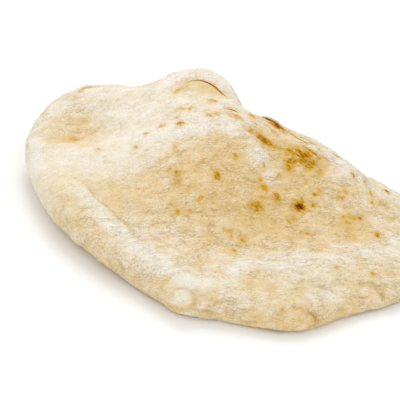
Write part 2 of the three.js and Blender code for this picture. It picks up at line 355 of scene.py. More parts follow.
FLOUR_BANDS = bands(
    ([(86, 194), (97, 208), (110, 223), (126, 239), (142, 251), (160, 263)], 5, 0.68),
    ([(160, 262), (172, 270), (185, 277)], 4, 0.45),
    ([(38, 160), (60, 158), (90, 160), (120, 157), (150, 149)], 10, 0.55),
    ([(110, 140), (140, 135), (165, 132), (190, 126), (215, 121), (238, 125)], 5, 0.5),
    ([(165, 80), (180, 73), (200, 72), (219, 78), (233, 90), (241, 106)], 4.5, 0.8),
    ([(215, 104), (235, 104), (255, 108), (275, 114)], 4, 0.4),
    ([(90, 105), (120, 112), (150, 112), (175, 104)], 14, 0.55),
    ([(238, 267), (250, 265), (266, 265), (285, 268)], 6, 0.7),
    ([(300, 260), (340, 257), (362, 251), (398, 243)], 6.5, 0.48),
    ([(245, 122), (252, 140), (260, 158), (269, 178)], 4, 0.55),
    ([(196, 126), (215, 124), (236, 127)], 6, 0.35),
    ([(335, 176), (350, 178), (370, 186), (395, 193)], 5, 0.4),
    ([(173, 300), (179, 297), (185, 296)], 2.4, 0.45), ([(192, 95), (206, 96), (222, 102)], 4, 0.35),
    ([(182, 281), (205, 283), (226, 284)], 3.8, 0.5),
    ([(30, 165), (34, 145), (42, 125), (58, 103)], 7, 0.45), ([(318, 296), (330, 294)], 7, 0.35),
    ([(72, 91), (110, 89), (160, 87)], 4, 0.5),
    ([(310, 146), (325, 154), (345, 165), (362, 176)], 2.8, 0.7),
    ([(228, 146), (225, 162), (221, 178)], 6, -0.6), ([(250, 205), (275, 208)], 9, -0.45),
    ([(303, 178), (305, 190)], 5, -0.4), ([(352, 210), (358, 238), (380, 240)], 6, -0.4),
    # Painted light: the first band below, at (316, 156), pales the crest where it turns away from the
    # lamps.
    ([(316, 156), (330, 161), (346, 170)], 4, 0.3), ([(325, 205), (345, 206), (362, 210)], 4, 0.25),
    ([(58, 136), (72, 128), (88, 126)], 10, -0.25),
)
COARSE_SPOTS = spots(
    (85, 165, 66, 50, -0.6), (125, 112, 66, 50, -0.45), (40, 160, 36, 90, -0.15),
    (72, 128, 40, 44, 0.25, 15), (250, 300, 150, 50, -0.12, 5), (181, 299, 18, 16, -0.4),
    (202, 283, 26, 10, -0.3, 5), (205, 92, 34, 26, -0.3),
)
COARSE_LIMITS = (0.35, 2)
GOLDEN_GROUND = 0.32
FLOUR_GROUND = 0.18
# Painted shade: gold added for each mm of a crease's depth.
GROOVE_SHADE_GOLD = 0.22

# Painted light: the rim is paler, less golden and more floury, where it is steep on its far side: how much,
# which way, and how steep it is.
PAINTED_RIM_LIGHT = 0.22
PALE_TURN = 125
PALE_HALF = 65
PALE_STEEP = (0.2, 0.8)

# How a pixel finds its vertex: pixels round it, how far a vertex must face the camera, how many
# mm behind the nearest one it may lie, and how many mm from it the pixel's own place may be. The
# line of sight is taken as no more aslant to the crust than the last value.
FOOT_PIXELS = 3
FOOT_FACING = 0.02
FOOT_DEPTH = 14
VERTEX_REACH = 1.5
SLANT_LIMIT = -0.05

# ---------------- the dough's unevenness
# Noise of some height, with cells of some mm, in so many layers, from a seed.

Noise = namedtuple("Noise", "high cell layers seed")
UNDULATION = Noise(0.7, 30, 1, 1)
WRINKLES = Noise(0.26, 2.4, 2, 3)

# Lumps, their height, how much lower they are in the middle, and how far in that begins and ends.
LUMPS = Noise(1.0, 12, 2, 2)
LUMP_HEIGHT = 0.62
MIDDLE_LESS = 0.2
MIDDLE_INSET = (16, 30)

# Folds follow the lines where a noise is 0, and are kept where a broader one is high.
FOLD_NOISE = Noise(1.0, 4.4, 1, 8)
FOLD_DEPTH = 0.32
FOLD_WIDTH = 0.15
FOLD_REGION = Noise(1.0, 15, 1, 6)
FOLD_KEPT = (-0.25, 0.45)

# The patchy ground of gold and flour, and the push that makes marks ragged.
GOLDEN_NOISE = Noise(0.14, 22, 3, 60)
FLOUR_NOISE = Noise(0.11, 26, 3, 70)
WARPS = [Noise(0.5, 3.4, 1, 400), Noise(0.5, 1.6, 1, 420)]

# Round swells strewn one to a cell, where the cell's random number is chosen. Their radius is a
# least one plus its growth times that number. Pores have a height below zero.
Strewn = namedtuple("Strewn", "high cell seed chosen radius growth")
BUBBLES = Strewn(0.8, 13, 8, (0.5, 0.9), 2.0, 2.4)
PORES = Strewn(-0.36, 3.6, 9, (0.55, 0.95), 0.85, 0.0)

# The way that the crust's wrinkles run in plan, and how much longer than wide they are.
COMB_TURN = 15
COMB_STRETCH = 2.6

# Numbers that stir a lattice's corners into random ones, and steps from one seed to the next.
CORNER_PRIMES = np.array([73856093, 19349663, 83492791])
SEED_PRIME = 2654435761
STIRRERS = (2246822519, 3266489917)
SLOPE_STEP = 7
LAYER_STEP = 31
OFFSET_STEP = 11
CHANCE_STEP = 53
NOISE_GAIN = 1.6
JITTER = 0.42
TINY = 1e-9

# ---------------- the crust's finish

CREAM = (0.80, 0.71, 0.545, 1)
GOLD = (0.735, 0.545, 0.275, 1)
FLOUR = (0.84, 0.795, 0.70, 1)
# FOLD is painted shade, laid into the creases as they deepen; the fine hairs take it as their tint too.
FOLD = (0.60, 0.45, 0.22, 1)
OCHRE = (0.64, 0.352, 0.011, 1)
BROWN = (0.42, 0.165, 0.006, 1)
BURNT = (0.14, 0.022, 0.001, 1)

# How much of each of red, green and blue is lost where the crust is darkened by its grain and by the
# painted shade of its wrinkles: that shade is warm.
WARM_SHADE = (0.88, 1.0, 1.75)

# Grains: mm wide, how many times as long, detail, and a turn from the wrinkles' way. Hairs: the
# same without detail, and the level of a broader noise above which they are kept. The middle of
# a noise is what a grain spreads to go from -1 to 1.
GRAINS = {
    "patch": (5, 1.3, 1.5, 0),
    "streak": (2.2, COMB_STRETCH, 1, 0),
    "speck": (1.7, 1.5, 1, 0),
    "fine": (0.75, 1.8, 2, 0),
    "pepper": (0.42, 1.5, 2, 0),
    "scorch": (1.1, 3.2, 2, -44),
}
HAIRS = {"hair": (2.2, 2.6, 0, 0.48), "cross": (1.8, 2.4, 34, 0.5)}
HAIR_WIDTH = 0.17
HAIR_REGION_SIZE = 3
HAIR_REGION_STRETCH = 1.3
HAIR_FADE = (-0.08, 0.12)
NOISE_MIDDLE = (0.3, 0.7)

# Dark specks: mm of a cell, the share of cells that have one, and how dark it is. A speck fades
# between two distances, counted in cells.
SPECKS = [(1.9, 0.16, 0.34), (1.1, 0.14, 0.22)]
SPECK_STRETCH = 1.5
SPECK_EDGE = (0.1, 0.42)
SPECK_CHOICE_FADE = 0.05

# How much each grain and field adds to an effect, and what some effects start from.
# The ripple, the wrinkles' height, paints shade: more golden, less floury and darker in their valleys, and
# the other way on their crests.
GOLD_MOTTLE_AND_SHADE = {"patch": 0.34, "speck": 0.1, "streak": 0.24, "ripple": -0.3}
FLOUR_MOTTLE_AND_SHADE = {"flour": 1.0, "streak": 0.14, "speck": 0.08, "patch": -0.1, "ripple": 0.3}
TOAST_MOTTLE = {"fine": 0.26, "pepper": 0.24, "scorch": 0.5, "streak": 0.1}
SEAM_MOTTLE = {"fine": 0.15}
HAIR_TINT = {"hair": 0.42, "cross": 0.36}
BARE_SHADE = {"pepper": 0.06, "fine": 0.09, "streak": 0.03, "hair": -0.09, "cross": -0.07}
SHADE = {"ripple": 0.26, "pepper": 0.085, "hair": -0.035, "cross": -0.025}
HEIGHT = {"speck": 0.4, "fine": 0.45, "pepper": 0.3, "streak": 0.4, "hair": -0.8, "cross": -0.7}
BARE_SHADE_START = 0.03
SHADE_START = 0.008

# Where one value is turned into another: from low to high, and what they become.
Ramp = namedtuple("Ramp", "low high to_low to_high", defaults=(0.0, 1.0))
GOLDEN_RAMP = Ramp(0.0, 1.0)
FLOUR_RAMP = Ramp(0.05, 1.1, 0.0, 0.85)
# Painted shade: a crease takes up to half of the fold colour as it deepens from 0.2 to 2 mm.
GROOVE_RAMP = Ramp(0.2, 2.0, 0.0, 0.5)
SPECK_COARSE_RAMP = Ramp(0.5, 1.0)
BARE_FLOUR_RAMP = Ramp(0.15, 1.1, 1.0, 0.35)
BARE_TOAST_RAMP = Ramp(0.0, 0.5, 1.0, 0.3)
ROUGHNESS_RAMP = Ramp(0.0, 1.0, 0.62, 0.9)
TOAST_RAMPS = [(OCHRE, Ramp(0.0, 0.58)), (BROWN, Ramp(0.38, 0.86)), (BURNT, Ramp(0.8, 1.15))]
SEAM_RAMPS = [
    (OCHRE, Ramp(-4.0, 0.0, 0.0, 0.6)), (BROWN, Ramp(-1.2, 0.1, 0.0, 0.8)),
    (BURNT, Ramp(-0.5, 0.5, 0.0, 0.85)),
]

# The least half thickness, mm, that a dark line is taken to have, so that none is divided by 0.
SEAM_LEAST = 0.001

# How strong the bump is, how high in metres, and how much the crust mirrors.
BUMP_STRENGTH = 1.0
BUMP_DISTANCE = 0.0002
CRUST_SPECULAR = 0.04


# ---------------- small formulas

def ease(limits, value):
    """A smooth step: 0 below the first limit, 1 above the second, 3t^2 - 2t^3 between."""
    t = np.clip((value - limits[0]) / (limits[1] - limits[0]), 0, 1)
    return t * t * (3 - 2 * t)


def hump(away, half):
    """exp(-(away/half)^2): 1 at 0, and 1/e where away is the half width."""
    return np.exp(-((away / half) ** 2))


def bell(angle, turn, half):
    """A hump of how far the angle lies from turn, the short way round."""
    apart = (angle - np.radians(turn) + np.pi) % (2 * np.pi) - np.pi
    return hump(apart, np.radians(half))


def turned(x, y, degrees):
    """How far a point lies along a way that is turned by some degrees, and how far to its left:
    x cos + y sin, and y cos - x sin."""
    angle = np.radians(degrees)
    return x * np.cos(angle) + y * np.sin(angle), y * np.cos(angle) - x * np.sin(angle)


def edge_rise(inward):
    """(1 - (1 - t)^n)^(1/n): a quarter of a full ellipse, straight up at 0 and level at 1."""
    t = np.clip(inward, 0, 1)
    return (1 - (1 - t) ** EDGE_FULLNESS) ** (1 / EDGE_FULLNESS)


def scatter(corners, seed):
    """A random number from -1 to 1 for each whole-numbered corner: its coordinates and the seed
    are stirred together twice, and the last 24 bits are kept."""
    key = corners @ CORNER_PRIMES + seed * SEED_PRIME
    key = (key ^ (key >> 15)) * STIRRERS[0] & 0xFFFFFFFF
    key = (key ^ (key >> 13)) * STIRRERS[1] & 0xFFFFFFFF
    return ((key ^ (key >> 16)) & 0xFFFFFF) / 0x7FFFFF - 1


def noise(points, cell, seed):
    """Gradient noise, about -1 to 1: each corner of a cubic lattice has a random slope, and the
    eight slopes round a point are blended by 6t^5 - 15t^4 + 10t^3."""
    place = points / cell
    base = np.floor(place).astype(np.int64)
    part = place - base
    blend = part**3 * (part * (part * 6 - 15) + 10)
    total = np.zeros(len(points))
    for corner in np.ndindex(2, 2, 2):
        corner = np.array(corner)
        slope = np.stack([scatter(base + corner, seed + SLOPE_STEP * k) for k in range(3)], 1)
        weight = np.prod(np.where(corner, blend, 1 - blend), axis=1)
        total += weight * np.sum(slope * (part - corner), axis=1)
    return total * NOISE_GAIN


def uneven(points, kind):
    """Noise summed over its layers, each with half the cell and half the height of the last."""
    total = np.zeros(len(points))
    for layer in range(kind.layers):
        share = 0.5**layer
        total += share * noise(points, share * kind.cell, kind.seed + LAYER_STEP * layer)
    return kind.high * total


def nearest_seed(points, cell, seed):
    """Distance to the nearest of the points strewn one to a cubic cell, and that one's random
    number from 0 to 1. Both come from the cells round each point."""
    base = np.floor(points / cell).astype(np.int64)
    best = np.full(len(points), np.inf)
    chance = np.zeros(len(points))
    for step in np.ndindex(3, 3, 3):
        corner = base + np.array(step) - 1
        offset = np.stack([scatter(corner, seed + OFFSET_STEP * k) for k in range(3)], 1)
        away = np.linalg.norm(points - (corner + 0.5 + JITTER * offset) * cell, axis=1)
        closer = away < best
        best = np.where(closer, away, best)
        chance = np.where(closer, 0.5 + 0.5 * scatter(corner, seed + CHANCE_STEP), chance)
    return best, chance


def strewn(points, kind):
    """A hump round the nearest strewn point, eased in as that point's random number rises past
    the chosen limits."""
    away, chance = nearest_seed(points, kind.cell, kind.seed)
    radius = kind.radius + kind.growth * chance
    return kind.high * ease(kind.chosen, chance) * hump(away, radius)


# ---------------- the bread's form

def outline(angle):
    """Radius of the widest line: the mean radius plus one cosine wave for each row of waves, and
    one bell for each row of bulges."""
    waves = [size * np.cos(lobes * (angle - np.radians(turn))) for lobes, size, turn in OUTLINE_WAVES]
    bulges = [size * bell(angle, turn, half) for turn, half, size in OUTLINE_BULGES]
    return MEAN_RADIUS + sum(waves) + sum(bulges)


def rim_level(angle):
    """Height of the widest line: low in front, rising as a squared cosine, plus a corner's bell."""
    curl = 0.5 + 0.5 * np.cos(angle - np.radians(RIM_CURL_TURN))
    corner = bell(angle, RIM_CORNER_TURN, RIM_CORNER_HALF)
    return RIM_LOWEST + RIM_CURL * curl**2 + RIM_CORNER_LIFT * corner


def swell_at(swell, x, y):
    """A bell, height * exp(-(a^2 + c^2)^sharp), with a along it and c across on either flank."""
    along, across = turned(x - swell.x, y - swell.y, swell.turn)
    flank = np.where(across < 0, swell.near, swell.far)
    away = (along / swell.along) ** 2 + (across / flank) ** 2
    return swell.height * np.exp(-(away**swell.sharp))


def upper_face(angle, share):
    """Rim level, blended to the middle's, plus the roll's rise, minus its crease, plus swells."""
    radius = outline(angle)
    x, y = radius * share * np.cos(angle), radius * share * np.sin(angle)
    inward = radius * (1 - share)
    rim_part = ease(RIM_TAKES_OVER, share)
    width = ROLL_WIDTH + ROLL_EXTRA_WIDTH * bell(angle, ROLL_WIDE_TURN, ROLL_WIDE_HALF)
    swing = ROLL_HEIGHT_SWING * np.cos(angle - np.radians(ROLL_HEIGHT_TURN))
    roll = (ROLL_HEIGHT + swing * rim_part) * edge_rise(inward / width)
    deep = CREASE_EXTRA_DEPTH * bell(angle, CREASE_DEEP_TURN, CREASE_DEEP_HALF)
    crease = (CREASE_DEPTH + deep * rim_part) * ease((1, CREASE_END), inward / width)
    level = MIDDLE_LEVEL + (rim_level(angle) - MIDDLE_LEVEL) * ease(LEVEL_BLEND, share)
    swells = sum(swell_at(s, x, y) * ease(s.fade, inward) for s in SWELLS.values())
    return np.stack([x, y, level + roll - crease + swells], -1)


def lower_face(angle, share):
    """Flat in the middle, then the rim's section upside down, up to the widest line. The higher
    that line is, the wider the curl below it."""
    radius = outline(angle)
    level = rim_level(angle)
    height = level * (1 - edge_rise(radius * (1 - share) / (CURL_SPREAD * level)))
    return np.stack([radius * share * np.cos(angle), radius * share * np.sin(angle), height], -1)


# ---------------- grids over a disc

def disc_grid(cells):
    """Ring (0 to 1) and angle of a square grid laid over a disc. A square ring of the grid
    becomes a round one: the larger coordinate gives the ring, the ratio of both the angle."""
    line = np.linspace(-1, 1, cells + 1)
    a, b = np.meshgrid(line, line, indexing="ij")
    sideways = np.abs(a) > np.abs(b)
    ring = np.where(sideways, a, b)
    safe = np.where(ring == 0, 1, ring)
    turn = np.where(sideways, np.pi / 4 * b / safe, np.pi / 2 - np.pi / 4 * a / safe)
    return np.abs(ring), np.where(ring < 0, turn + np.pi, turn)


def even_shares(ring, height, width, tail=0.0):
    """Turns even rings into shares of the radius whose steps along the rim's section are even.
    The section is the rim's rise of that height and width, and its length is summed up. The
    outermost ring stops short of the widest line by the tail."""
    share = np.linspace(0, 1, SECTION_SAMPLES)
    rise = height * edge_rise(MEAN_RADIUS * (1 - share) / width)
    steps = np.hypot(np.diff(share) * MEAN_RADIUS, np.diff(rise))
    length = np.concatenate([[0], np.cumsum(steps)])
    return np.interp(ring * (length[-1] - tail), length, share)


def grid_numbers(cells, first):
    """Vertex numbers of a square grid, counted row by row from the first."""
    return first + np.arange((cells + 1) ** 2).reshape(cells + 1, cells + 1)


def grid_faces(cells, first, upward):
    """Quads of a square grid whose vertices are numbered from first."""
    number = grid_numbers(cells, first)
    corners = [number[:-1, :-1], number[1:, :-1], number[1:, 1:], number[:-1, 1:]]
    quads = np.stack([c.ravel() for c in corners], 1)
    return quads if upward else quads[:, ::-1]


def grid_border(cells, first):
    """Vertex numbers round a square grid's border, anticlockwise, from its corner at +X and -Y."""
    number = grid_numbers(cells, first)
    return np.concatenate([number[-1, :-1], number[:0:-1, -1], number[0, :0:-1], number[:-1, 0]])


def border_strip(outer, inner):
    """Triangles that join a border to one of half as many vertices, below it."""
    middle, later = outer[1::2], np.roll(outer[::2], -1)
    next_inner = np.roll(inner, -1)
    return np.concatenate([
        np.stack([outer[::2], inner, middle], 1),
        np.stack([middle, inner, next_inner], 1),
        np.stack([middle, next_inner, later], 1),
    ])


def grid_normals(points):
    """Unit normals of a grid of points: the cross product of its steps both ways."""
    normals = np.cross(np.gradient(points, axis=0), np.gradient(points, axis=1))
    return normals / np.linalg.norm(normals, axis=-1, keepdims=True)


# ---------------- the camera

def camera_axes():
    """The camera's right, up and forward directions: raised, then rolled about its own view."""
    forward = np.array([0, np.cos(CAMERA_ELEVATION), -np.sin(CAMERA_ELEVATION)])
    level_up = np.array([0, np.sin(CAMERA_ELEVATION), np.cos(CAMERA_ELEVATION)])
    level_right = np.array([1.0, 0, 0])
    right = level_right * np.cos(CAMERA_ROLL) + level_up * np.sin(CAMERA_ROLL)
    up = level_up * np.cos(CAMERA_ROLL) - level_right * np.sin(CAMERA_ROLL)
    return right, up, forward


def camera_place():
    """Where the camera stands, mm: back along its view from the point at its frame's middle."""
    right, up, forward = camera_axes()
    aside = (HALF_FRAME - ORIGIN_PIXEL[0]) * PIXEL_MM
    above = (ORIGIN_PIXEL[1] - HALF_FRAME) * PIXEL_MM
    return right * aside + up * above - forward * CAMERA_DISTANCE / MM


def line_of_sight(u, v):
    """The way from the camera to a pixel: forward, plus the pixel's offsets over the distance."""
    right, up, forward = camera_axes()
    aside = (u - HALF_FRAME) * PIXEL_MM * MM / CAMERA_DISTANCE
    above = (HALF_FRAME - v) * PIXEL_MM * MM / CAMERA_DISTANCE
    return forward + aside * right + above * up


def frame_pixels(points):
    """Where points in mm fall in the camera's frame, in pixels, and how far they are from it:
    their offsets across the view, divided by their distance along it."""
    right, up, forward = camera_axes()
    away = points - camera_place()
    depth = away @ forward
    scale = CAMERA_DISTANCE / MM / PIXEL_MM / depth
    return HALF_FRAME + away @ right * scale, HALF_FRAME - away @ up * scale, depth


def put(name, data):
    """A new object that shows some data, in the scene's own collection."""
    made = bpy.data.objects.new(name, data)
    bpy.context.scene.collection.objects.link(made)
    return made


def make_camera():
    """A camera whose frame is so many pixels of so many mm wide at its distance."""
    right, up, forward = camera_axes()
    data = bpy.data.cameras.new("camera")
    data.sensor_width = SENSOR_MM
    data.lens = SENSOR_MM * CAMERA_DISTANCE / MM / (FRAME_PIXELS * PIXEL_MM)
    data.clip_end = CAMERA_CLIP
    camera = put("camera", data)
    turn = Matrix([right, up, -forward]).transposed().to_4x4()
    camera.matrix_world = Matrix.Translation(Vector(camera_place() * MM)) @ turn
    bpy.context.scene.camera = camera


# ---------------- floor and light

def make_floor():
    """A wide pale square under the bread."""
    mesh = bpy.data.meshes.new("floor")
    half = FLOOR_SIZE / 2
    corners = [(-half, -half, 0), (half, -half, 0), (half, half, 0), (-half, half, 0)]
    mesh.from_pydata(corners, [], [(0, 1, 2, 3)])
    material = bpy.data.materials.new("pale floor")
    material.use_nodes = True
    surface = material.node_tree.nodes["Principled BSDF"]
    surface.inputs["Base Color"].default_value = (FLOOR_TONE, FLOOR_TONE, FLOOR_TONE, 1)
    surface.inputs["Roughness"].default_value = FLOOR_ROUGHNESS
    surface.inputs["Specular IOR Level"].default_value = FLOOR_SPECULAR
    mesh.materials.append(material)
    floor = put("floor", mesh)


def area_light(name, place, size, power):
    """A round white lamp at a place, turned to the bread."""
    data = bpy.data.lights.new(name, "AREA")
    data.shape = "DISK"
    data.size = size
    data.energy = power
    data.color = WHITE
    light = put(name, data)
    light.location = place
    light.rotation_euler = (-Vector(place)).to_track_quat("-Z", "Y").to_euler()


def make_light():
    """Even white light from all round, and the lamps."""
    world = bpy.data.worlds.new("studio")
    bpy.context.scene.world = world
    world.use_nodes = True
    background = world.node_tree.nodes["Background"]
    background.inputs["Color"].default_value = (*WHITE, 1)
    background.inputs["Strength"].default_value = SKY_STRENGTH
    for name, light in LIGHTS.items():
        area_light(name, light.place, light.size, light.power)
    bpy.context.scene.view_settings.view_transform = "Standard"


# ---------------- features on the crust

class Crust:
    """The crust's smooth points and normals, mm, with the pixel that each falls on."""

    def __init__(self, points, normals):
        self.points = points
        self.normals = normals
        self.u, self.v, self.depth = frame_pixels(points)
        self.right, _, forward = camera_axes()
        self.facing = -(normals @ forward)

    def foot(self, u, v):
        """Number of the vertex seen at a pixel: of those facing the camera close by and not
        hidden behind others, the one nearest the pixel."""
        away = np.hypot(self.u - u, self.v - v)
        seen = self.facing > FOOT_FACING
        close = seen & (away < FOOT_PIXELS)
        front = self.depth.min()
        if close.any():
            seen = close
            front = self.depth[close].min()
        fair = seen & (self.depth < front + FOOT_DEPTH)
        return int(np.argmin(np.where(fair, away, np.inf)))

    def place(self, u, v):
        """The point of the crust seen at a pixel, and its normal: where the pixel's line of sight
        meets the plane that touches the crust at the pixel's vertex, kept close to that vertex."""
        at = self.foot(u, v)
        sight = line_of_sight(u, v)
        start = camera_place()
        normal = self.normals[at]
        reach = (self.points[at] - start) @ normal / min(sight @ normal, SLANT_LIMIT)
        step = start + reach * sight - self.points[at]
        step *= min(1, VERTEX_REACH / max(np.linalg.norm(step), TINY))
        return self.points[at] + step, normal

    def within(self, spot, wider=0):
        """How far from a spot's middle each point is, as a share of its ellipse's half-widths,
        measured in the crust's own plane there and made so many mm wider."""
        middle, normal = self.place(spot.u, spot.v)
        across = self.right - normal * (self.right @ normal)
        across = across / np.linalg.norm(across)
        offset = self.points - middle
        wide, deep = turned(offset @ across, offset @ np.cross(normal, across), spot.turn)
        return np.hypot(2 * wide / (spot.wide + wider), 2 * deep / (spot.deep + wider))

    def beside(self, line):
        """Distance to a line of pixels laid on the crust, how far aside of it (left is positive,
        looking along it), and the share of its length, all from its nearest segment."""
        placed = [self.place(u, v) for u, v in line]
        stops = np.array([point for point, _ in placed])
        ups = np.array([normal for _, normal in placed])
        lengths = np.linalg.norm(np.diff(stops, axis=0), axis=1)
        before = np.concatenate([[0], np.cumsum(lengths)])
        best = np.full(len(self.points), np.inf)
        side = np.zeros(len(self.points))
        share = np.zeros(len(self.points))
        for k, length in enumerate(lengths):
            along = (stops[k + 1] - stops[k]) / max(length, TINY)
            offset = self.points - stops[k]
            reach = np.clip(offset @ along, 0, length)
            rest = offset - reach[:, None] * along
            away = np.linalg.norm(rest, axis=1)
            left = np.cross(ups[k] + ups[k + 1], along)
            left = left / np.linalg.norm(left)
            closer = away < best
            best = np.where(closer, away, best)
            side = np.where(closer, rest @ left, side)
            share = np.where(closer, (before[k] + reach) / before[-1], share)
        return best, side, share

    def spot_bells(self, rows, power):
        """The sum of the spots' bells, amount * exp(-(share of the ellipse)^power)."""
        total = np.zeros(len(self.points))
        for spot in rows:
            total += spot.amount * np.exp(-(self.within(spot) ** power))
        return total

    def band_bells(self, rows):
        """The sum of the bands' humps of the distance to their lines, each times its amount."""
        total = np.zeros(len(self.points))
        for band in rows:
            away, _, _ = self.beside(band.line)
            total += band.amount * hump(away, band.half)
        return total


def cone(away):
    """Full near an ellipse's middle, then falling straight to 0 a little outside its rim."""
    return np.clip(MARK_RIM - away, 0, 1)


def smooth_line(line):
    """A line of pixels with its corners cut off twice, a quarter of the way along each side."""
    line = np.array(line, float)
    for _ in range(2):
        before, after = line[:-1], line[1:]
        middle = np.stack([0.75 * before + 0.25 * after, 0.25 * before + 0.75 * after], 1)
        line = np.concatenate([line[:1], middle.reshape(-1, 2), line[-1:]])
    return line


def tapered(share):
    """1 along a line, eased to 0 at both its ends."""
    return ease((0, LINE_TAPER), share) * ease((0, LINE_TAPER), 1 - share)


def warped(crust):
    """The crust with its points pushed about by noise, so that marks get ragged edges."""
    ragged = Crust(crust.points, crust.normals)
    for kind in WARPS:
        push = [noise(crust.points, kind.cell, kind.seed + k) for k in range(3)]
        ragged.points = ragged.points + kind.high * np.stack(push, 1)
    return ragged


# ---------------- relief

def crease_relief(crust):
    """Grooves, depth times a hump of the distance to a line, and steps, half up and half down by
    a tanh across the line, which die away over some mm. Both are tapered at the line's ends."""
    grooves = np.zeros(len(crust.points))
    steps = np.zeros(len(crust.points))
    for crease in CREASES.values():
        away, side, share = crust.beside(smooth_line(crease.line))
        ends = tapered(share)
        grooves += crease.depth * hump(away, crease.half) * ends
        tilt = np.tanh(side / (STEP_SHARPNESS * crease.half)) * hump(away, STEP_REACH)
        steps -= 0.5 * crease.step * tilt * ends
    return grooves, steps


def combed(points):
    """The points turned in plan and pressed together along the way that the crust's wrinkles run,
    so that noise worked out on them comes out stretched that way."""
    along, across = turned(points[:, 0], points[:, 1], COMB_TURN)
    return np.stack([along / COMB_STRETCH, across, points[:, 2]], 1)


def ripple_field(crust, coarse):
    """The crust's wrinkles, mm: fine lumps, and folds, valleys along the lines where a noise is 0,
    each a hump of that noise, kept where a broader noise is high."""
    points = combed(crust.points)
    kept = ease(FOLD_KEPT, uneven(points, FOLD_REGION))
    folds = hump(uneven(points, FOLD_NOISE), FOLD_WIDTH)
    return coarse * (uneven(points, WRINKLES) - FOLD_DEPTH * kept * folds)


def baked_relief(crust):
    """The dough's own unevenness, mm: broad undulations, lumps, small blisters and pores. The rim
    is lumpier than the middle."""
    points = crust.points
    edge = outline(np.arctan2(points[:, 1], points[:, 0]))
    middle = ease(MIDDLE_INSET, edge - np.hypot(points[:, 0], points[:, 1]))
    lumps = (LUMP_HEIGHT - MIDDLE_LESS * middle) * uneven(points, LUMPS)
    return uneven(points, UNDULATION) + lumps + strewn(points, BUBBLES) + strewn(points, PORES)


# ---------------- toast, gold and flour

def toast_field(crust):
    """How far each point is toasted: the strongest of the marks over it and their halos, each
    full in its middle and falling to nothing at its ragged edge, and of the random marks."""
    ragged = warped(crust)
    toast = np.zeros(len(crust.points))
    for mark in MARKS:
        toast = np.maximum(toast, mark.amount * cone(ragged.within(mark)))
        toast = np.maximum(toast, HALO_TOAST * mark.amount * cone(ragged.within(mark, HALO_WIDER)))
    return np.maximum(toast, lonely_marks(crust, ragged))


def drawn(rng, draw):
    """The least number, plus the spread times a random number from 0 to 1 to the power."""
    return draw.least + draw.spread * rng.random() ** draw.power


def lonely_marks(crust, ragged):
    """Random marks for the parts that the camera's frame doesn't show: a cone round each of some
    vertices drawn from those parts, with a random radius and strength."""
    rng = np.random.default_rng(RANDOM_SEED)
    inside = (crust.u > 0) & (crust.u < FRAME_PIXELS)
    unseen = np.flatnonzero(~((crust.facing > LONELY_FACING) & inside))
    toast = np.zeros(len(crust.points))
    for at in rng.choice(unseen, LONELY_MARKS):
        radius = drawn(rng, LONELY_RADIUS)
        strength = drawn(rng, LONELY_TOAST)
        away = np.linalg.norm(ragged.points - crust.points[at], axis=1) / radius
        toast = np.maximum(toast, strength * cone(away))
    return toast


def seam_fields(crust):
    """The signed distance, mm, to the nearest dark line, and half that line's thickness, which
    tapers to nothing at its ends. The lines are burnt, but the crescent flap's is painted shadow in
    the crevice under it. The distance is straight across a line, so it stays exact between vertices."""
    nearest = np.full(len(crust.points), np.inf)
    aside = np.full(len(crust.points), SEAM_REACH)
    thick = np.zeros(len(crust.points))
    for crease in CREASES.values():
        if crease.burnt == 0:
            continue
        away, side, share = crust.beside(smooth_line(crease.line))
        closer = (away < nearest) & (away < SEAM_REACH)
        nearest = np.where(closer, away, nearest)
        ended = (share <= 0) | (share >= 1)
        aside = np.where(closer, np.where(ended, away, side), aside)
        thick = np.where(closer, crease.burnt * np.sin(np.pi * share**SEAM_TAPER), thick)
    return aside, thick


def painted_rim_light(crust):
    """Painted light: 1 where the rim is steep on its far side, eased to 0 away from there."""
    steep = 1 - ease(PALE_STEEP, crust.normals[:, 2])
    return steep * bell(np.arctan2(crust.points[:, 1], crust.points[:, 0]), PALE_TURN, PALE_HALF)


def coarse_field(crust):
    """How coarse the crust's grain is: 1 plus the coarse spots' bells."""
    return np.clip(1 + crust.spot_bells(COARSE_SPOTS, TINT_POWER), *COARSE_LIMITS)


def golden_field(crust, coarse, grooves):
    """How golden the crust is: a patchy ground, the golden spots' and bands' bells, and painted shade
    that grows with the depth of the creases, less the painted rim light."""
    golden = GOLDEN_GROUND + coarse * uneven(crust.points, GOLDEN_NOISE)
    golden += crust.spot_bells(GOLDEN_SPOTS, TINT_POWER) + crust.band_bells(GOLD_AND_SHADE_BANDS)
    return np.clip(golden + GROOVE_SHADE_GOLD * grooves - PAINTED_RIM_LIGHT * painted_rim_light(crust), 0, 1)


def flour_field(crust):
    """How floury the crust is: a patchy ground, the flour bands' bells, and the painted rim light."""
    flour = FLOUR_GROUND + uneven(crust.points, FLOUR_NOISE) + crust.band_bells(FLOUR_BANDS)
    return np.clip(flour + PAINTED_RIM_LIGHT * painted_rim_light(crust), 0, 1)


# ---------------- the crust's material

